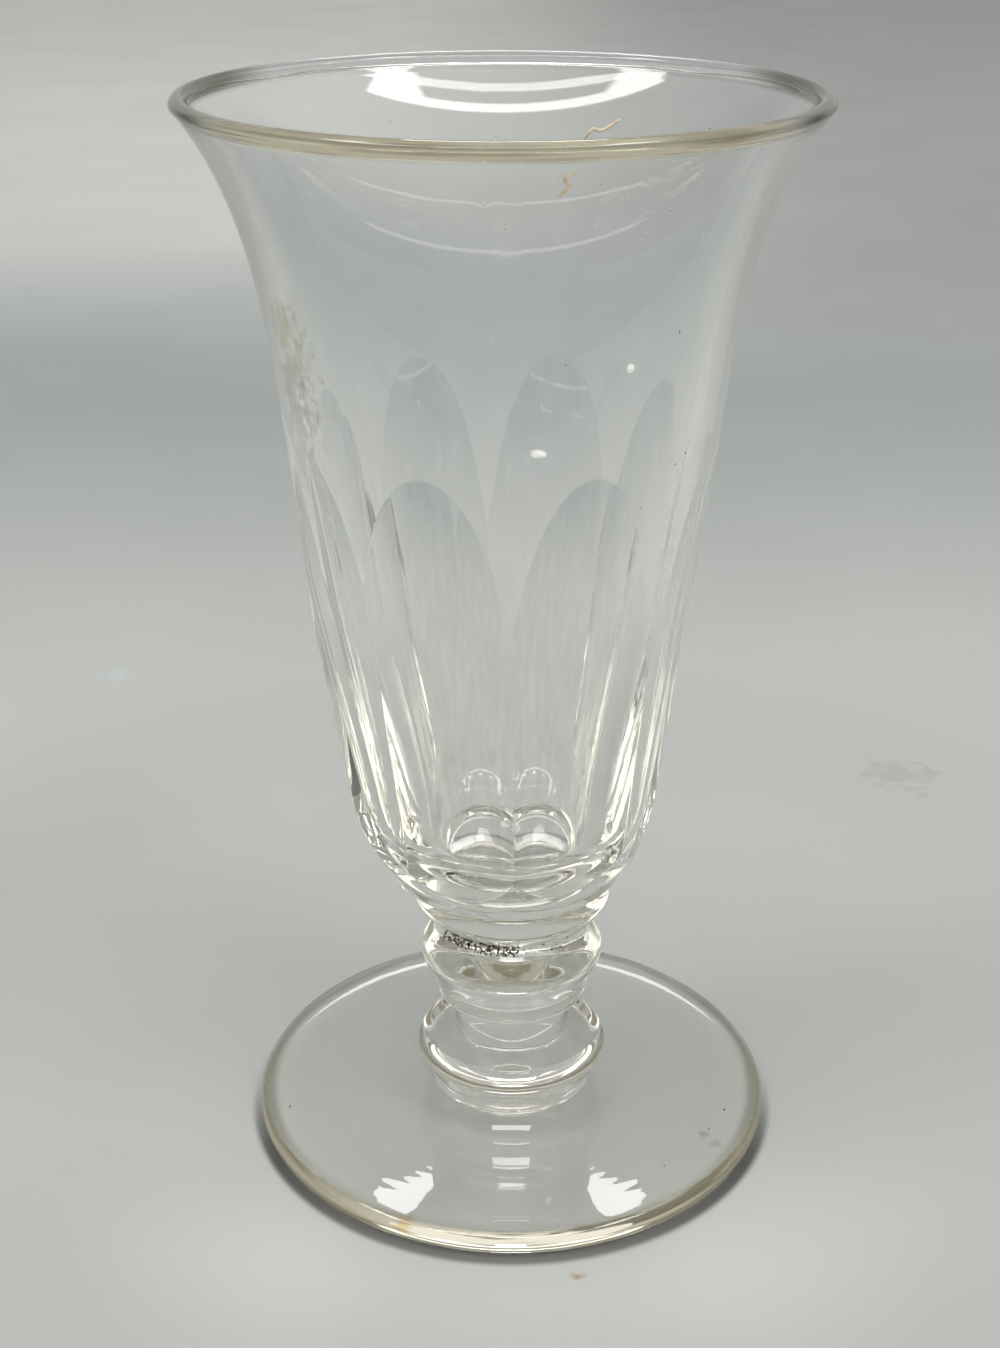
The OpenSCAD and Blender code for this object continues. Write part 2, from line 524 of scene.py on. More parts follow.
    def build(self) -> bpy.types.Object:
        """Joins all rows into one closed mesh.

        Returns:
            The glass, with the mask of its flutes as an attribute.
        """
        rows = [*self.foot_rows(), *self.stem_rows(), *self.bowl_rows(), *self.inside_rows()]
        n = len(self.share)
        rings, flute = [], []
        for row in rows:
            az = self.azimuth(row.height)
            x, y = row.middle + row.radius * np.sin(az), -row.radius * np.cos(az)
            rings.append(np.stack([x, y, row.height], -1))
            flute.append(np.full(n, 1.0 if row.zone is Zone.FLUTES else 0.0))
        first = (self.stem.off, 0.0, self.foot.hollow)
        last = (float(rows[-1].middle[0]), 0.0, self.cavity.floor_z)
        verts = np.concatenate([[first], *rings, [last]]) * MM
        i, j = np.meshgrid(np.arange(len(rows) - 1), np.arange(n), indexing="ij")
        k = (j + 1) % n
        low, high = 1 + i * n, 1 + (i + 1) * n
        quads = np.stack([low + j, low + k, high + k, high + j], -1).reshape(-1, 4)
        end = 1 + (len(rows) - 1) * n
        col = np.arange(n)
        fan_low = np.stack([np.zeros(n, int), 1 + (col + 1) % n, 1 + col], -1)
        fan_top = np.stack([end + col, end + (col + 1) % n, np.full(n, len(verts) - 1)], -1)
        glass = new_piece("glass_body", verts.tolist(), fan_low.tolist() + quads.tolist() + fan_top.tolist())
        values = np.concatenate([[flute[0][0]], *flute, [flute[-1][0]]])
        glass.data.attributes.new("flute", "FLOAT", "POINT").data.foreach_set("value", values)
        glass.data.update()
        return glass


class NodeSheet:
    """A small helper round a node tree that makes and wires nodes."""

    def __init__(self, tree: bpy.types.NodeTree) -> None:
        """Keeps the tree."""
        self.tree = tree

    def add(self, kind: str, **settings: object) -> bpy.types.Node:
        """Adds a node.

        Args:
            kind: Blender's name of the node type.
            settings: Properties of the node, or values of its input sockets by name.

        Returns:
            The node.
        """
        node = self.tree.nodes.new(kind)
        for name, value in settings.items():
            if hasattr(node, name):
                setattr(node, name, value)
            else:
                self.feed(node.inputs[name.replace("_", " ")], value)
        return node

    def feed(self, socket: Socket, value: object) -> None:
        """Wires an output socket to an input, or sets the input's own value.

        Args:
            socket: The input.
            value: An output socket, or a plain value.
        """
        if isinstance(value, Socket):
            self.tree.links.new(value, socket)
        else:
            socket.default_value = value

    def math(self, operation: str, a: object, b: object = 0.0, c: object = 0.0) -> Socket:
        """Works out a value with a Math node.

        Args:
            operation: Blender's name of the operation.
            a: First value or socket.
            b: Second value or socket.
            c: Third value or socket, where the operation has three.

        Returns:
            The result.
        """
        node = self.tree.nodes.new("ShaderNodeMath")
        node.operation = operation
        for socket, value in zip(node.inputs, (a, b, c)):
            self.feed(socket, value)
        return node.outputs[0]

    def remap(self, value: object, a: float, b: float, c: float = 0.0, d: float = 1.0) -> Socket:
        """Smoothly maps one span of a value onto another.

        Args:
            value: The value or socket.
            a: Start of its span.
            b: End of its span.
            c: Result at the start.
            d: Result at the end.

        Returns:
            The result, which doesn't go past c or d.
        """
        node = self.tree.nodes.new("ShaderNodeMapRange")
        node.interpolation_type = "SMOOTHSTEP"
        for socket, v in zip(node.inputs, (value, a, b, c, d)):
            self.feed(socket, v)
        return node.outputs[0]

    def mix(self, share: object, a: object, b: object, blend: str = "MIX") -> Socket:
        """Mixes two colours.

        Args:
            share: How much of the second one shows.
            a: First colour or socket.
            b: Second colour or socket.
            blend: Blender's name of the way they mix.

        Returns:
            The mixed colour.
        """
        node = self.tree.nodes.new("ShaderNodeMix")
        node.data_type = "RGBA"
        node.blend_type = blend
        self.feed(node.inputs[0], share)
        for socket, colour in ((node.inputs[6], a), (node.inputs[7], b)):
            self.feed(socket, colour if isinstance(colour, Socket) else (*colour, 1.0))
        return node.outputs[2]

    def times(self, a: object, b: object) -> Socket:
        """Product of two values or masks."""
        return self.math("MULTIPLY", a, b)

    def parts(self, place: Socket) -> Sequence[Socket]:
        """The X, Y and Z of a place."""
        return self.add("ShaderNodeSeparateXYZ", Vector=place).outputs

    def away(self, x: Socket, y: Socket, middle: float) -> Socket:
        """Distance from an upright line that stands at X = middle, in metres."""
        dx = self.math("SUBTRACT", x, middle)
        return self.math("SQRT", self.math("ADD", self.times(dx, dx), self.times(y, y)))

    def noise(self, place: Socket, scale: float, detail: float = 0.0) -> Socket:
        """Noise of one scale in every direction."""
        return self.add("ShaderNodeTexNoise", Vector=place, Scale=scale, Detail=detail).outputs[0]

    def drawn_noise(self, place: Socket, scale: Place) -> Socket:
        """Noise drawn out, with its own scale along each axis."""
        return self.noise(self.add("ShaderNodeMapping", Vector=place, Scale=scale).outputs[0], 1.0)


def new_material(name: str) -> tuple[bpy.types.Material, NodeSheet, bpy.types.Node]:
    """Makes an empty node material.

    Args:
        name: Name of the material.

    Returns:
        The material, its sheet and its output node.
    """
    material = bpy.data.materials.new(name)
    material.use_nodes = True
    material.node_tree.nodes.clear()
    sheet = NodeSheet(material.node_tree)
    return material, sheet, sheet.add("ShaderNodeOutputMaterial")


def worn_patch_group() -> bpy.types.NodeTree:
    """Builds the node group of one soft patch with a broken edge: a stain, a smear or a scuff.

    Returns:
        The group. It puts out a mask, 1 in the middle of the patch.
    """
    made = bpy.data.node_groups.get("worn_patch")
    if made:
        return made
    tree = bpy.data.node_groups.new("worn_patch", "ShaderNodeTree")
    for name, kind in (("Place", "Vector"), ("Centre", "Vector"), ("Radius", "Float"), ("Grain", "Float"),
                       ("Broken", "Float")):
        tree.interface.new_socket(name, in_out="INPUT", socket_type="NodeSocket" + kind)
    tree.interface.new_socket("Mask", in_out="OUTPUT", socket_type="NodeSocketFloat")
    s = NodeSheet(tree)
    given, result = s.add("NodeGroupInput"), s.add("NodeGroupOutput")
    gap = s.add("ShaderNodeVectorMath", operation="DISTANCE")
    s.feed(gap.inputs[0], given.outputs["Place"])
    s.feed(gap.inputs[1], given.outputs["Centre"])
    share = s.math("DIVIDE", gap.outputs["Value"], given.outputs["Radius"])
    push = s.times(s.math("SUBTRACT", given.outputs["Grain"], 0.5), given.outputs["Broken"])
    s.feed(result.inputs["Mask"], s.remap(s.math("ADD", share, push), 1.0, 0.35))
    return tree


@dataclass(frozen=True)
class Patch:
    """One stain or worn place: where it is, how large, how broken and its colour."""

    place: Place
    radius: float
    colour: Rgb
    strength: float = 1.0
    broken: float = 1.6

    def mask(self, s: NodeSheet, group: bpy.types.NodeTree, place: Socket, grain: Socket) -> Socket:
        """Places the patch in a material.

        Args:
            s: The material's sheet.
            group: The worn_patch group.
            place: Object coordinates.
            grain: Noise that breaks the patch's edge.

        Returns:
            The patch's mask, times its strength.
        """
        node = s.add("ShaderNodeGroup", node_tree=group)
        s.feed(node.inputs["Place"], place)
        node.inputs["Centre"].default_value = [v * MM for v in self.place]
        node.inputs["Radius"].default_value = self.radius * MM
        s.feed(node.inputs["Grain"], grain)
        node.inputs["Broken"].default_value = self.broken
        return s.times(node.outputs["Mask"], self.strength)


@dataclass(frozen=True)
class ClearGlassFinish:
    """Old clear glass: faint olive in its depth, fire-polished, with grinding streaks in the flutes."""

    ior: float = 1.52
    roughness: float = 0.03
    tint: Rgb = (0.999, 1.0, 0.996)
    satin: Rgb = (0.885, 0.89, 0.88)
    satin_streaks: Span = (0.34, 0.66)
    satin_least: float = 0.25
    grind_grain: Place = (1700.0, 1700.0, 26.0)
    foot_middle: float = 0.0011

    # Painted light and shade on the lip: a warm, streaked glint on its front and painted shade at its two
    # ends.
    lip_glint_gold: Rgb = (0.90, 0.83, 0.62)
    lip_end_shade: Rgb = (0.30, 0.29, 0.24)
    lip_glint_brown: Rgb = (0.60, 0.52, 0.38)
    lip_z: Span = (0.1130, 0.1137)
    lip_front_y: Span = (-0.012, -0.022)
    lip_ends_x: Span = (0.0240, 0.0290)
    lip_threads: Span = (0.45, 0.62)
    thread_grain: Place = (90.0, 90.0, 2600.0)

    # Painted shade on the foot's rounded edge: olive at the sides, paler grey in the middle, strongest in
    # front.
    edge_shade_olive: Rgb = (0.66, 0.63, 0.50)
    edge_shade_front: Rgb = (0.74, 0.71, 0.65)
    edge_out: Span = (0.0272, 0.0289)
    edge_z: Span = (0.006, 0.004)
    edge_side_x: Span = (0.008, 0.019)
    edge_y: Span = (0.010, 0.0)
    edge_shade_weight: Span = (0.1, 0.85)
    patch_grain: float = 900.0

    wave_grain: float = 95.0
    wave_height: float = 7.0
    streak_grain: Place = (1900.0, 1900.0, 22.0)
    streak_height: float = 2.2
    foot_rings: float = 900.0
    ring_height: float = 5.0
    foot_top_z: Span = (0.0045, 0.0038)
    relief_unit: float = 0.000001

    depth_tint: Rgb = (0.62, 0.60, 0.44)
    depth: float = 9.5

    lost_light: Rgb = (1.05, 1.02, 0.93)
    lost_dark: Rgb = (0.08, 0.075, 0.06)
    lost_wall: Rgb = (0.19, 0.193, 0.18)
    lost_foot: Rgb = (0.14, 0.13, 0.10)
    lost_after: float = 3.5
    swirl_grain: Place = (110.0, 110.0, 420.0)
    swirls: Span = (0.30, 0.46)
    wall_z: Span = (0.038, 0.050)
    lost_lip_z: Span = (0.1112, 0.1125)
    lost_foot_z: Span = (0.0045, 0.0030)

    # Painted sheen: a faint glow over the bowl, weaker in the worn streaks of the flutes, standing in for a
    # veil of old dust.
    sheen_glow: Rgb = (0.016, 0.0162, 0.0158)
    film_streaks: Span = (0.38, 0.66)
    film_worn: float = 0.75
    film_low_z: Span = (0.048, 0.062)
    film_high_z: Span = (0.104, 0.082)

    patches: tuple[Patch, ...] = (
        Patch((-20.2, -12.6, 95.0), 3.0, (0.60, 0.52, 0.33), 0.75, 2.4),
        Patch((-19.5, -13.4, 92.4), 3.0, (0.58, 0.53, 0.38), 0.7, 2.4),
        Patch((-19.9, -11.8, 89.6), 3.3, (0.42, 0.42, 0.36), 0.75, 2.2),
        Patch((-19.3, -12.2, 86.6), 3.2, (0.40, 0.41, 0.35), 0.75, 2.2),
        Patch((-19.0, -12.0, 83.8), 2.8, (0.56, 0.57, 0.51), 0.65, 2.4),
        Patch((22.9, -12.4, 3.0), 0.9, (0.60, 0.48, 0.36), 0.7),
        Patch((24.0, -13.9, 3.0), 0.9, (0.66, 0.54, 0.42), 0.6),
        Patch((-10.2, -26.9, 2.4), 1.5, (0.60, 0.40, 0.16), 0.9, 1.2),
    )

    def colour(self, s: NodeSheet, place: Socket, flute: Socket, streak: Socket) -> Socket:
        """Colour over the surface: satin flutes, painted glint and end shade on the lip, painted shade on the
        foot's edge, and stains.

        Args:
            s: The material's sheet.
            place: Object coordinates.
            flute: Mask of the cut flutes.
            streak: Noise of the grinding streaks.

        Returns:
            The colour.
        """
        x, y, z = s.parts(place)
        ground = s.times(flute, s.remap(streak, *self.satin_streaks, self.satin_least, 1.0))
        colour = s.mix(ground, self.tint, self.satin)
        # Painted warm glint on the front of the lip, then painted shade at its ends.
        lip = s.remap(z, *self.lip_z)
        thread = s.remap(s.drawn_noise(place, self.thread_grain), *self.lip_threads)
        front = s.times(lip, s.remap(y, *self.lip_front_y))
        colour = s.mix(front, colour, s.mix(thread, self.lip_glint_gold, self.lip_glint_brown))
        ends = s.remap(s.math("ABSOLUTE", x), *self.lip_ends_x)
        colour = s.mix(s.times(lip, ends), colour, self.lip_end_shade)
        # Painted shade on the foot's rounded edge.
        out = s.away(x, y, self.foot_middle)
        edge = s.times(s.remap(out, *self.edge_out), s.remap(z, *self.edge_z))
        edge = s.times(edge, s.remap(y, *self.edge_y, *self.edge_shade_weight))
        aside = s.math("ABSOLUTE", s.math("SUBTRACT", x, self.foot_middle))
        olive = s.mix(s.remap(aside, *self.edge_side_x), self.edge_shade_front, self.edge_shade_olive)
        colour = s.mix(edge, colour, olive)
        group = worn_patch_group()
        grain = s.noise(place, self.patch_grain, 1.0)
        for patch in self.patches:
            colour = s.mix(patch.mask(s, group, place, grain), colour, patch.colour)
        return colour

    def relief(self, s: NodeSheet, place: Socket, flute: Socket) -> Socket:
        """Fine shape of the surface: hand waviness, grinding streaks and faint rings on the foot.

        Args:
            s: The material's sheet.
            place: Object coordinates.
            flute: Mask of the cut flutes.

        Returns:
            The normal.
        """
        x, y, z = s.parts(place)
        height = s.times(s.noise(place, self.wave_grain), self.wave_height)
        streak = s.times(flute, s.drawn_noise(place, self.streak_grain))
        height = s.math("ADD", height, s.times(streak, self.streak_height))
        ring = s.add("ShaderNodeTexNoise", noise_dimensions="1D", Scale=1.0, Detail=0.0)
        s.feed(ring.inputs["W"], s.times(s.away(x, y, self.foot_middle), self.foot_rings))
        foot = s.times(s.remap(z, *self.foot_top_z), ring.outputs[0])
        height = s.math("ADD", height, s.times(foot, self.ring_height))
        return s.add("ShaderNodeBump", Strength=1.0, Distance=self.relief_unit, Height=height).outputs[0]

    def deep(self, s: NodeSheet, place: Socket) -> Socket:
        """Light that comes out of long paths in the glass, which a render cuts short.

        Args:
            s: The material's sheet.
            place: Object coordinates.

        Returns:
            The light's colour: bright swirls in the stem, even in the wall, dim in the foot and lip.
        """
        z = s.parts(place)[2]
        swirl = s.remap(s.drawn_noise(place, self.swirl_grain), *self.swirls)
        light = s.mix(swirl, self.lost_dark, self.lost_light)
        light = s.mix(s.remap(z, *self.wall_z), light, self.lost_wall)
        light = s.mix(s.remap(z, *self.lost_lip_z), light, self.lost_dark)
        return s.mix(s.remap(z, *self.lost_foot_z), light, self.lost_foot)

    def dust_sheen_glow(self, s: NodeSheet, place: Socket, flute: Socket, streak: Socket) -> Socket:
        """Painted sheen on the bowl: a faint pale glow that stands in for old dust, in streaks on the ground
        flutes.

        Args:
            s: The material's sheet.
            place: Object coordinates.
            flute: Mask of the cut flutes.
            streak: Noise of the grinding streaks.

        Returns:
            The glow's colour.
        """
        z = s.parts(place)[2]
        worn = s.times(flute, s.remap(streak, *self.film_streaks, -self.film_worn, 0.0))
        share = s.math("ADD", worn, 1.0)
        bowl = s.times(s.remap(z, *self.film_low_z), s.remap(z, *self.film_high_z))
        return s.mix(s.times(share, bowl), (0.0, 0.0, 0.0), self.sheen_glow)

    def build(self) -> bpy.types.Material:
        """Makes the material.

        Returns:
            The glass material.
        """
        material, s, out = new_material("clear_old_glass")
        shader = s.add("ShaderNodeBsdfPrincipled")
        shader.inputs["Transmission Weight"].default_value = 1.0
        shader.inputs["Metallic"].default_value = 0.0
        shader.inputs["IOR"].default_value = self.ior
        place = s.add("ShaderNodeTexCoord").outputs["Object"]
        flute = s.add("ShaderNodeAttribute", attribute_name="flute").outputs["Fac"]
        streak = s.drawn_noise(place, self.grind_grain)
        s.feed(shader.inputs["Base Color"], self.colour(s, place, flute, streak))
        s.feed(shader.inputs["Normal"], self.relief(s, place, flute))
        s.feed(shader.inputs["Roughness"], s.times(flute, self.roughness))
        # Glow: the painted dust sheen, and past a few glossy turns the light that cut-short paths would
        # bring.
        turns = s.add("ShaderNodeLightPath").outputs["Glossy Depth"]
        lost = s.math("GREATER_THAN", turns, self.lost_after)
        glow = s.mix(lost, self.dust_sheen_glow(s, place, flute, streak), self.deep(s, place))
        s.feed(shader.inputs["Emission Color"], glow)
        shader.inputs["Emission Strength"].default_value = 1.0
        s.feed(out.inputs["Surface"], shader.outputs[0])
        depth = s.add("ShaderNodeVolumeAbsorption")
        depth.inputs["Color"].default_value = (*self.depth_tint, 1.0)
        depth.inputs["Density"].default_value = self.depth
        s.feed(out.inputs["Volume"], depth.outputs[0])
        return material


@dataclass(frozen=True)
class SpeckFinish:
    """Opaque matter on or in the glass: dried dirt, a fibre or a pearly seed, mottled by noise, with a
    painted glow where one is set.
    """

    name: str
    light: Rgb
    dark: Rgb
    grain: float
    roughness: float = 0.8
    glow: float = 0.0
    mottle: Span = (0.38, 0.62)

    def build(self) -> bpy.types.Material:
        """Makes the material.

        Returns:
            The matter's material.
        """
        material, s, out = new_material(self.name)
        shader = s.add("ShaderNodeBsdfPrincipled")
        place = s.add("ShaderNodeTexCoord").outputs["Object"]
        colour = s.mix(s.remap(s.noise(place, self.grain, 2.0), *self.mottle), self.dark, self.light)
        s.feed(shader.inputs["Base Color"], colour)
        shader.inputs["Roughness"].default_value = self.roughness
        # Painted light: the matter glows faintly in its own colour, though it is no lamp.
        if self.glow:
            s.feed(shader.inputs["Emission Color"], colour)
            shader.inputs["Emission Strength"].default_value = self.glow
        s.feed(out.inputs["Surface"], shader.outputs[0])
        return material


@dataclass(frozen=True)
class SweepFinish:
    """Pale grey paper sweep, with painted shade behind the glass and far at the right, painted light and
    shade round the foot, and a few faint scuffs.
    """

    near: Rgb = (0.475, 0.489, 0.480)
    # Painted shade: the paper is darker in the band behind the glass and far at the right, where less light
    # falls.
    fold_shade: Rgb = (0.328, 0.352, 0.358)
    far_right_shade: Rgb = (0.305, 0.314, 0.315)
    roughness: float = 0.85
    specular: float = 0.2
    fold_near_y: Span = (0.11, 0.30)
    fold_far_y: Span = (0.31, 0.50)
    right_x: Span = (-0.1, 0.16)
    right_y: Span = (0.25, 0.45)
    far_y: Span = (0.40, 0.52)
    farther_y: Span = (0.6, 1.3)
    far_gain: Span = (0.06, 0.02)
    middle_y: Span = (0.05, 0.20)
    middle_gain: Span = (1.09, 0.945)
    front_y: Span = (-0.04, 0.0)
    front_loss: float = 0.04
    blotch_grain: float = 16.0
    blotches: Span = (0.3, 0.7)
    blotch_dark: Rgb = (0.975, 0.975, 0.975)
    blotch_light: Rgb = (1.02, 1.02, 1.02)
    foot_middle: float = 0.0011
    pool_out: Span = (0.0292, 0.0280)
    pool_y: Span = (-0.03, 0.025)
    pool_gain: Span = (0.36, 0.60)
    contact_in: Span = (0.0268, 0.0284)
    contact_out: Span = (0.0308, 0.0298)
    contact_y: Span = (0.004, -0.014)
    contact_loss: Span = (0.05, 0.80)
    spill_out: Span = (0.060, 0.034)
    spill_gain: float = 0.24
    spill_y: Span = (-0.010, -0.036)
    scuff_grain: float = 320.0
    scuffs: tuple[Patch, ...] = (
        Patch((-68.0, 120.0, 0.0), 3.4, (0.50, 0.55, 0.56), 0.7),
        Patch((62.0, 82.0, 0.0), 6.0, (0.40, 0.385, 0.35), 0.45, 3.2),
        Patch((8.0, -32.0, 0.0), 1.3, (0.40, 0.30, 0.17), 0.8, 2.4),
    )

    def build(self) -> bpy.types.Material:
        """Makes the material of the floor.

        Returns:
            The sweep's material.
        """
        material, s, out = new_material("pale_sweep")
        shader = s.add("ShaderNodeBsdfPrincipled")
        shader.inputs["Roughness"].default_value = self.roughness
        shader.inputs["Specular IOR Level"].default_value = self.specular
        place = s.add("ShaderNodeTexCoord").outputs["Object"]
        lit = s.add("ShaderNodeVectorMath", operation="SCALE")
        s.feed(lit.inputs[0], self.paper(s, place))
        s.feed(lit.inputs["Scale"], self.level(s, place))
        colour = lit.outputs[0]
        group = worn_patch_group()
        grain = s.noise(place, self.scuff_grain, 2.0)
        for scuff in self.scuffs:
            colour = s.mix(scuff.mask(s, group, place, grain), colour, scuff.colour)
        s.feed(shader.inputs["Base Color"], colour)
        s.feed(out.inputs["Surface"], shader.outputs[0])
        return material

    def paper(self, s: NodeSheet, place: Socket) -> Socket:
        """Colour of the paper: its own tone near, painted shade in the band behind the glass and far at the
        right, with soft blotches.

        Args:
            s: The material's sheet.
            place: Object coordinates.

        Returns:
            The colour.
        """
        x, y, _ = s.parts(place)
        # Painted shade in the band behind the glass and far at the right.
        fold_shade = s.times(s.remap(y, *self.fold_near_y), s.remap(y, *self.fold_far_y, 1.0, 0.0))
        colour = s.mix(fold_shade, self.near, self.fold_shade)
        right = s.times(s.remap(y, *self.right_y), s.remap(x, *self.right_x))
        colour = s.mix(right, colour, self.far_right_shade)
        blotch = s.remap(s.noise(place, self.blotch_grain, 2.0), *self.blotches)
        return s.mix(1.0, colour, s.mix(blotch, self.blotch_dark, self.blotch_light), "MULTIPLY")

    def level(self, s: NodeSheet, place: Socket) -> Socket:
        """How light the paper is: by depth, and by the light that the foot pools, stops and spills.

        Args:
            s: The material's sheet.
            place: Object coordinates.

        Returns:
            The factor on the paper's colour.
        """
        x, y, _ = s.parts(place)
        far = s.times(s.remap(y, *self.far_y), s.remap(y, *self.farther_y, *self.far_gain))
        far = s.times(far, s.math("SUBTRACT", 1.0, s.remap(x, *self.right_x)))
        level = s.math("ADD", s.remap(y, *self.middle_y, *self.middle_gain),
                       s.remap(y, *self.front_y, -self.front_loss, 0.0))
        away = s.away(x, y, self.foot_middle)
        pooled = s.times(s.remap(away, *self.pool_out), s.remap(y, *self.pool_y, *self.pool_gain))
        level = s.math("ADD", s.math("ADD", level, far), pooled)
        contact = s.times(s.remap(away, *self.contact_in), s.remap(away, *self.contact_out))
        contact = s.times(contact, s.remap(y, *self.contact_y, *self.contact_loss))
        spill = s.times(s.remap(away, *self.spill_out, 0.0, self.spill_gain), s.remap(y, *self.spill_y))
        return s.math("ADD", s.math("SUBTRACT", level, contact), spill)


def plain_copy(source: bpy.types.Object, name: str) -> bpy.types.Object:
    """Turns an object with a node modifier into a plain mesh object and removes the source.

    Args:
        source: Object with its live modifier.
        name: Name of the new piece.

    Returns:
        The plain piece, at the origin.
    """
    shape = source.evaluated_get(bpy.context.evaluated_depsgraph_get())
    mesh = bpy.data.meshes.new_from_object(shape)
    mesh.name = name
    source.modifiers.clear()
    bpy.data.objects.remove(source)
    piece = bpy.data.objects.new(name, mesh)
    bpy.context.scene.collection.objects.link(piece)
    return piece


@dataclass
class FlakeScatter:
    """Small lumps set on given points, each with its own size and turn, made by Geometry Nodes."""

    name: str
    finish: SpeckFinish
    flatten: float = 0.7
    seed: int = 5

    def tree(self) -> bpy.types.NodeTree:
        """Builds the node tree that sets a lump on each point.

        Returns:
            The tree, with inputs for the lumps' flatness, seed and finish.
        """
        made = bpy.data.node_groups.get("lumps_on_points")
        if made:
            return made
        tree = bpy.data.node_groups.new("lumps_on_points", "GeometryNodeTree")
        for name, kind in (("Points", "Geometry"), ("Flatness", "Float"), ("Seed", "Int"),
                           ("Finish", "Material")):
            tree.interface.new_socket(name, in_out="INPUT", socket_type="NodeSocket" + kind)
        tree.interface.new_socket("Lumps", in_out="OUTPUT", socket_type="NodeSocketGeometry")
        s = NodeSheet(tree)
        given, result = s.add("NodeGroupInput"), s.add("NodeGroupOutput")
        ball = s.add("GeometryNodeMeshIcoSphere", Radius=1.0, Subdivisions=1)
        shape = s.add("ShaderNodeCombineXYZ", X=1.0, Y=0.75)
        s.feed(shape.inputs[2], given.outputs["Flatness"])
        lump = s.add("GeometryNodeTransform", Geometry=ball.outputs[0], Scale=shape.outputs[0])
        turn = s.add("FunctionNodeRandomValue", data_type="FLOAT_VECTOR")
        turn.inputs[0].default_value = (0.0, 0.0, 0.0)
        turn.inputs[1].default_value = (math.tau,) * 3
        s.feed(turn.inputs["Seed"], given.outputs["Seed"])
        size = s.add("GeometryNodeInputNamedAttribute", data_type="FLOAT", Name="size")
        put = s.add("GeometryNodeInstanceOnPoints", Points=given.outputs["Points"], Instance=lump.outputs[0],
                    Rotation=turn.outputs[0], Scale=size.outputs[0])
        real = s.add("GeometryNodeRealizeInstances", Geometry=put.outputs[0])
        done = s.add("GeometryNodeSetMaterial", Geometry=real.outputs[0], Material=given.outputs["Finish"])
        s.feed(result.inputs[0], done.outputs[0])
        return tree

    def build(self, points: np.ndarray, sizes: np.ndarray) -> bpy.types.Object:
        """Sets the lumps.

        Args:
            points: Places, in millimetres.
            sizes: Radius of each lump, in millimetres.

        Returns:
            All lumps as one plain mesh.
        """
        holder = new_piece(self.name + "_points", (np.asarray(points) * MM).tolist(), [])
        size = holder.data.attributes.new("size", "FLOAT", "POINT")
        size.data.foreach_set("value", np.asarray(sizes, float) * MM)
        modifier = holder.modifiers.new("lumps", "NODES")
        tree = self.tree()
        modifier.node_group = tree
        values = {"Flatness": self.flatten, "Seed": self.seed, "Finish": self.finish.build()}
        for item in tree.interface.items_tree:
            if item.in_out == "INPUT" and item.name in values:
                modifier[item.identifier] = values[item.name]
        return plain_copy(holder, self.name)


@dataclass
class CreaseDirt:
    """Old dirt packed in the crease over the upper knop: thick in front, thin round the back."""

    stem: StemSizes = field(default_factory=StemSizes)
    dense: Span = (-62.0, 6.0)
    count_dense: int = 360
    count_thin: int = 240
    low_z: float = 24.2
    deep: float = 1.6
    proud: float = 0.03
    size_dense: Span = (0.07, 0.22)
    size_thin: Span = (0.05, 0.13)
    seed: int = 41

    def build(self) -> bpy.types.Object:
        """Makes the band of dirt.

        Returns:
            The band as one piece.
        """
        rng = np.random.default_rng(self.seed)
        thick = rng.uniform(*self.dense, self.count_dense)
        thin = rng.uniform(-180.0, 180.0, self.count_thin)
        az = np.radians(np.concatenate([thick, thin]))
        up = np.concatenate([rng.beta(1.1, 1.3, self.count_dense), rng.beta(1.0, 2.4, self.count_thin)])
        z = self.low_z + self.deep * up
        crease_r, crease_z = self.stem.collar.low
        above, below = np.maximum(z - crease_z, 0.0), np.maximum(crease_z - z, 0.0)
        r = crease_r + above + below * 1.2 + self.proud
        points = np.stack([self.stem.off + r * np.sin(az), -r * np.cos(az), z], -1)
        sizes = np.concatenate([rng.uniform(*self.size_dense, self.count_dense),
                                rng.uniform(*self.size_thin, self.count_thin)])
        finish = SpeckFinish("crease_dirt", (0.42, 0.34, 0.20), (0.03, 0.022, 0.015), 1500.0)
        return FlakeScatter("crease_dirt", finish, 0.6, 7).build(points, sizes)


@dataclass
class LooseSpecks:
    """Single dark specks on the outer wall and the foot: place and radius of each."""

    specks: tuple[tuple[float, float, float, float], ...] = (
        (16.1, -17.9, 96.2, 0.14), (5.7, -23.1, 94.5, 0.1), (17.4, -13.9, 83.5, 0.13),
        (16.4, -14.9, 82.7, 0.1), (13.1, -17.4, 79.1, 0.1), (-24.3, -7.5, 3.05, 0.16),
        (23.4, -11.3, 3.05, 0.13), (17.9, -18.0, 3.2, 0.12), (25.5, -7.7, 3.0, 0.16),
        (-6.5, -24.2, 3.1, 0.08), (12.2, -14.0, 3.45, 0.08))

    def build(self) -> bpy.types.Object:
        """Makes the dark specks.

        Returns:
            All of them as one piece.
        """
        table = np.array(self.specks)
        finish = SpeckFinish("dark_speck", (0.12, 0.10, 0.08), (0.02, 0.018, 0.015), 3000.0)
        return FlakeScatter("loose_specks", finish, 0.5, 11).build(table[:, :3], table[:, 3])


@dataclass
class BowlDust:
    """Pale dust that clings to the inside of the flare, most of it at the back and the right."""

    count: int = 34
    turn: tuple[float, float, float] = (-60.0, 55.0, 85.0)
    heights: Span = (94.0, 112.5)
    sizes: Span = (0.07, 0.19)
    seed: int = 23

    def build(self) -> bpy.types.Object:
        """Makes the dust.

        Returns:
            All of it as one piece.
        """
        rng = np.random.default_rng(self.seed)
        az = np.radians(rng.triangular(*self.turn, self.count))
        z = rng.uniform(*self.heights, self.count)
        body = GlassBody()
        r = np.array([body.inner_radius(v) for v in z])
        points = np.stack([r * np.sin(az), r * np.cos(az), z], -1)
        finish = SpeckFinish("pale_dust", (0.88, 0.87, 0.83), (0.70, 0.69, 0.65), 2500.0)
        return FlakeScatter("bowl_dust", finish, 0.6, 17).build(points, rng.uniform(*self.sizes, self.count))


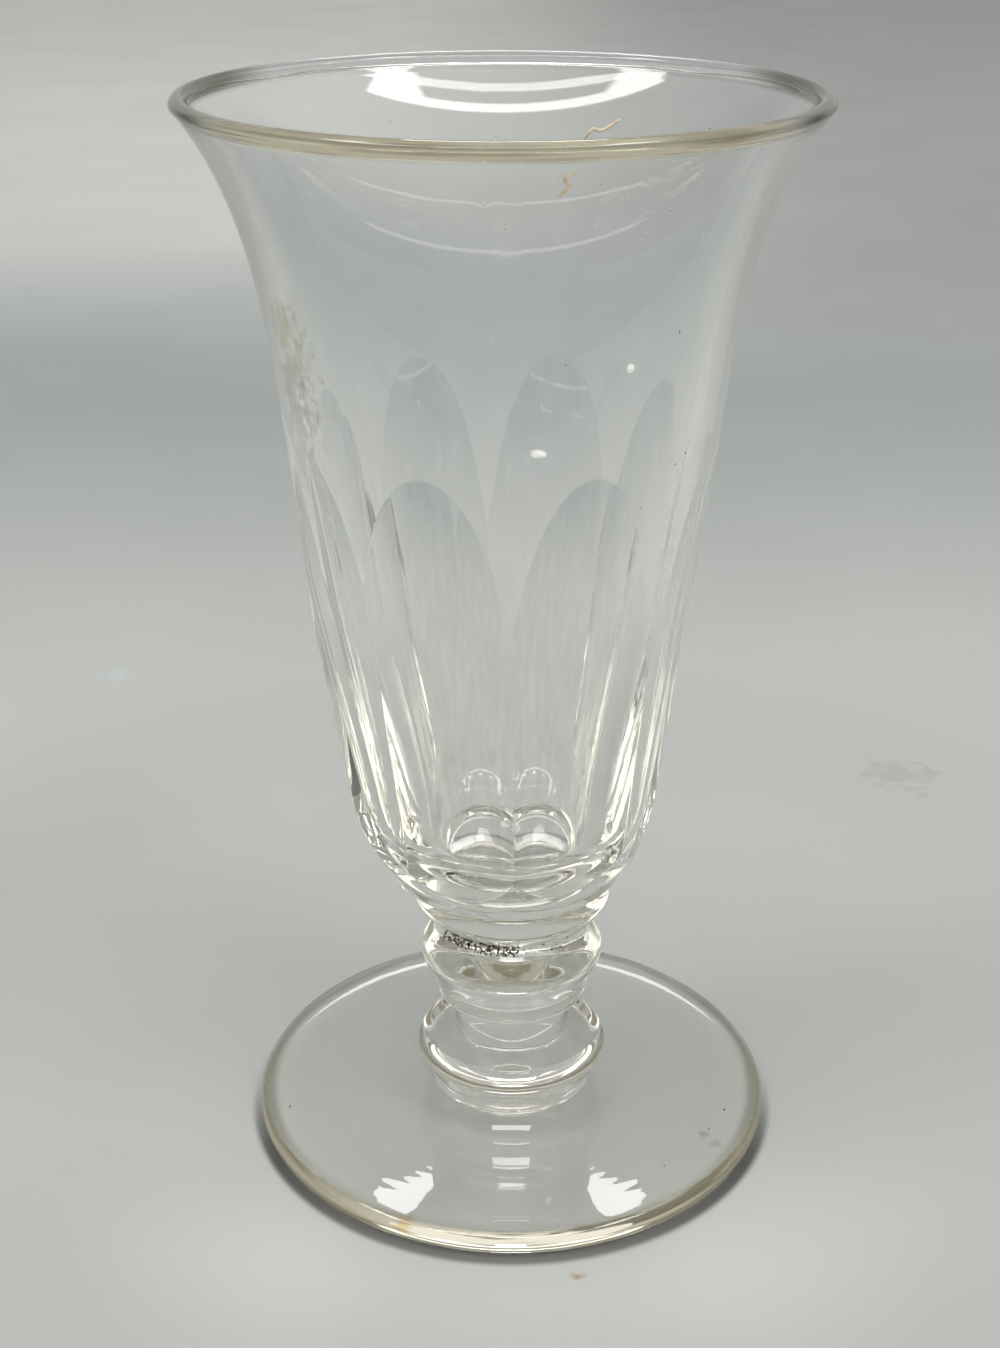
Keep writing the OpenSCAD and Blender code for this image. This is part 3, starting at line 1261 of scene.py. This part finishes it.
@dataclass
class WallSeed:
    """One pearly seed, a small bubble drawn long, that lies open at the surface of the wall."""

    name: str
    place: Place
    half: Place
    tilt: float = 0.0
    rings: int = 14
    around: int = 24

    def build(self, finish: bpy.types.Material) -> bpy.types.Object:
        """Makes the seed as a closed pebble, a little uneven.

        Args:
            finish: The seed's material.

        Returns:
            The seed.
        """
        rows = []
        for i in range(1, self.rings):
            a = math.pi * i / self.rings
            for j in range(self.around):
                b = math.tau * j / self.around
                p = (math.sin(a) * math.cos(b), math.sin(a) * math.sin(b), math.cos(a))
                swell = 1 + 0.09 * math.sin(3 * b + 1) * math.sin(a) + 0.06 * math.cos(2 * a)
                rows.append(self.put([v * swell for v in p]))
        verts = [self.put((0.0, 0.0, 1.06)), *rows, self.put((0.0, 0.0, -1.06))]
        n, last = self.around, len(verts) - 1
        faces = [(0, 1 + j, 1 + (j + 1) % n) for j in range(n)]
        for i in range(self.rings - 2):
            a, b = 1 + i * n, 1 + (i + 1) * n
            faces += [(a + j, b + j, b + (j + 1) % n, a + (j + 1) % n) for j in range(n)]
        faces += [(last, last - n + (j + 1) % n, last - n + j) for j in range(n)]
        return new_piece(self.name, verts, faces, finish)

    def put(self, p: Sequence[float]) -> Place:
        """Sizes, tilts and places one point of the pebble.

        Args:
            p: The point on a ball of radius 1.

        Returns:
            Its place in metres.
        """
        x, y, z = (v * h for v, h in zip(p, self.half))
        t = math.radians(self.tilt)
        x, z = x * math.cos(t) - z * math.sin(t), x * math.sin(t) + z * math.cos(t)
        return tuple((v + c) * MM for v, c in zip((x, y, z), self.place))


@dataclass
class Fibre:
    """One thin curled fibre that clings to the wall."""

    name: str
    path: tuple[Place, ...]
    thickness: float = 0.2
    sides: int = 7
    steps: int = 8

    def route(self) -> np.ndarray:
        """Draws a smooth route through the points of the path.

        Returns:
            The route's points.
        """
        pts = np.array([self.path[0], *self.path, self.path[-1]], float)
        out = []
        for i in range(len(self.path) - 1):
            a, b, c, d = pts[i:i + 4]
            for t in np.arange(self.steps) / self.steps:
                out.append(0.5 * (2 * b + (c - a) * t + (2 * a - 5 * b + 4 * c - d) * t ** 2
                                  + (3 * b - a - 3 * c + d) * t ** 3))
        return np.array([*out, pts[-1]])

    def build(self, finish: bpy.types.Material) -> bpy.types.Object:
        """Sweeps a thin closed tube along the route.

        Args:
            finish: The fibre's material.

        Returns:
            The fibre.
        """
        line = self.route()
        count, n = len(line), self.sides
        verts, faces = [], []
        for i, p in enumerate(line):
            along = Vector(line[min(i + 1, count - 1)] - line[max(i - 1, 0)]).normalized()
            side = along.cross(Vector((0.3, 0.5, 0.8))).normalized()
            other = along.cross(side)
            r = self.thickness * (0.35 + 0.65 * math.sin(math.pi * (i + 0.6) / (count + 0.2)) ** 0.5)
            for j in range(n):
                a = math.tau * j / n
                q = Vector(p) + (side * math.cos(a) + other * math.sin(a)) * r
                verts.append(tuple(v * MM for v in q))
        for i in range(count - 1):
            a, b = i * n, (i + 1) * n
            faces += [(a + j, a + (j + 1) % n, b + (j + 1) % n, b + j) for j in range(n)]
        faces += [tuple(reversed(range(n))), tuple(range((count - 1) * n, count * n))]
        return new_piece(self.name, verts, faces, finish)


@dataclass
class SmallMarks:
    """All that clings to the glass or lies in its wall."""

    seeds: tuple[WallSeed, ...] = (
        WallSeed("seed_long", (3.3, -22.05, 86.0), (0.85, 0.4, 0.42), -8.0),
        WallSeed("seed_round", (11.55, -20.45, 93.5), (0.4, 0.36, 0.42)),
    )
    fibres: tuple[Fibre, ...] = (
        Fibre("fibre_back", ((8.7, 24.0, 106.6), (9.6, 23.95, 107.6), (10.6, 23.8, 107.5),
                             (12.5, 23.4, 108.7))),
        Fibre("fibre_front", ((4.9, -28.6, 110.3), (5.6, -29.2, 111.2), (5.3, -29.5, 111.8),
                              (6.0, -29.9, 112.4))),
    )

    def build(self) -> list[bpy.types.Object]:
        """Makes every mark.

        Returns:
            The pieces.
        """
        # The seeds and the fibres get a faint painted glow.
        pearl = SpeckFinish("seed_pearl", (0.9, 0.9, 0.88), (0.72, 0.73, 0.71), 2500.0, 0.25, 0.35).build()
        tan = SpeckFinish("fibre_tan", (0.88, 0.76, 0.60), (0.70, 0.55, 0.38), 1200.0, 0.8, 0.12).build()
        pieces = [seed.build(pearl) for seed in self.seeds]
        pieces += [fibre.build(tan) for fibre in self.fibres]
        return [*pieces, CreaseDirt().build(), LooseSpecks().build(), BowlDust().build()]


@dataclass(frozen=True)
class CameraSetup:
    """Where the photograph was taken from, solved from the outlines of the lip and the foot."""

    focal_px: float = 1957.6
    long_side_px: float = 1348.0
    sensor: float = 36.0
    place: Place = (1.1, -191.8, 140.55)
    pitch: float = 24.24
    yaw: float = -0.40

    def build(self) -> None:
        """Makes the scene's camera."""
        data = bpy.data.cameras.new("photo_camera")
        data.sensor_width = self.sensor
        data.lens = self.focal_px * self.sensor / self.long_side_px
        data.clip_start, data.clip_end = 0.01, 50.0
        camera = bpy.data.objects.new("photo_camera", data)
        camera.location = [v * MM for v in self.place]
        camera.rotation_euler = (math.radians(90 - self.pitch), 0.0, math.radians(-self.yaw))
        bpy.context.scene.collection.objects.link(camera)
        bpy.context.scene.camera = camera


@dataclass(frozen=True)
class Softbox:
    """One level soft lamp: its middle and size, how bright its face looks, and its watts per square metre."""

    name: str
    place: Place
    size: tuple[float, float]
    glow: float
    watts: float = 4.0

    def build(self) -> None:
        """Hangs the lamp, facing down."""
        data = bpy.data.lights.new(self.name, "AREA")
        data.shape = "RECTANGLE"
        data.size, data.size_y = self.size
        data.energy = self.glow * self.watts * self.size[0] * self.size[1]
        lamp = bpy.data.objects.new(self.name, data)
        lamp.location = self.place
        bpy.context.scene.collection.objects.link(lamp)


@dataclass
class Studio:
    """Floor, room light with a bright ring high in front, and a soft lamp behind.

    The floor lies under the contact plane by a twentieth of a millimetre, so that the two never fight.
    """

    floor_half: float = 2.5
    under: float = 0.05
    overhead: Rgb = (0.55, 0.55, 0.535)
    back: Rgb = (0.47, 0.475, 0.465)
    low_front: Rgb = (0.30, 0.30, 0.29)
    low_side: Rgb = (0.05, 0.05, 0.052)
    rail: Rgb = (3.2, 3.2, 3.1)
    ring: Rgb = (12.5, 12.35, 11.7)
    back_y: Span = (-0.9, 0.1)
    side_x: Span = (0.5, 0.78)
    side_z: Span = (0.5, 0.25)
    overhead_z: Span = (0.45, 0.8)
    rail_low_z: Span = (0.151, 0.154)
    rail_high_z: Span = (0.163, 0.160)
    rail_y: Span = (-0.08, -0.30)
    ring_low_z: Span = (0.755, 0.765)
    ring_thin_z: Span = (0.800, 0.790)
    ring_tall_z: Span = (0.875, 0.860)
    ring_off: float = 0.045
    ring_tall_x: Span = (0.445, 0.485)
    ring_skew: float = 0.12
    ring_y: Span = (-0.072, -0.112)
    lamps: tuple[Softbox, ...] = (Softbox("back_strip", (0.0, 0.605, 0.7), (0.23, 0.24), 6.5),)

    def build(self) -> None:
        """Makes the floor, the world and the lamps."""
        h = self.floor_half
        z = -self.under * MM
        corners = [(-h, -h, z), (h, -h, z), (h, h, z), (-h, h, z)]
        floor = new_piece("sweep", corners, [(0, 1, 2, 3)], SweepFinish().build(), smooth=False)
        for lamp in self.lamps:
            lamp.build()
        self.room()

    def room(self) -> None:
        """Room light: pale overhead, dark low at the sides, a thin rail low in front and a high ring."""
        world = bpy.data.worlds.new("room")
        world.use_nodes = True
        tree = world.node_tree
        tree.nodes.clear()
        s = NodeSheet(tree)
        x, y, z = s.parts(s.add("ShaderNodeTexCoord").outputs["Generated"])
        colour = s.mix(s.remap(y, *self.back_y), self.low_front, self.back)
        side = s.times(s.remap(s.math("ABSOLUTE", x), *self.side_x), s.remap(z, *self.side_z))
        colour = s.mix(side, colour, self.low_side)
        colour = s.mix(s.remap(z, *self.overhead_z), colour, self.overhead)
        rail = s.times(s.remap(z, *self.rail_low_z), s.remap(z, *self.rail_high_z))
        colour = s.mix(s.times(rail, s.remap(y, *self.rail_y)), colour, self.rail)
        aside = s.remap(s.math("ABSOLUTE", s.math("ADD", x, self.ring_off)), *self.ring_tall_x)
        tall = s.times(s.remap(z, *self.ring_tall_z), aside)
        band = s.math("MAXIMUM", s.remap(z, *self.ring_thin_z), tall)
        ring = s.times(s.remap(z, *self.ring_low_z), band)
        reach = s.remap(s.math("MULTIPLY_ADD", x, self.ring_skew, y), *self.ring_y)
        colour = s.mix(s.times(ring, reach), colour, self.ring)
        light = s.add("ShaderNodeBackground", Color=colour)
        out = s.add("ShaderNodeOutputWorld")
        s.feed(out.inputs["Surface"], light.outputs[0])
        bpy.context.scene.world = world


def main() -> None:
    """Builds the glass and its setting, and reports each piece."""
    logging.basicConfig(level=logging.INFO, format="%(message)s")
    bpy.context.scene.view_settings.view_transform = "Standard"
    CameraSetup().build()
    Studio().build()
    glass = GlassBody().build()
    glass.data.materials.append(ClearGlassFinish().build())
    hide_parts("jelly_glass")
    for piece in (glass, *SmallMarks().build()):
        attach(piece, "root")
        log.info("%s: %d vertices, %d faces", piece.name, len(piece.data.vertices), len(piece.data.polygons))


if __name__ == "__main__":
    main()
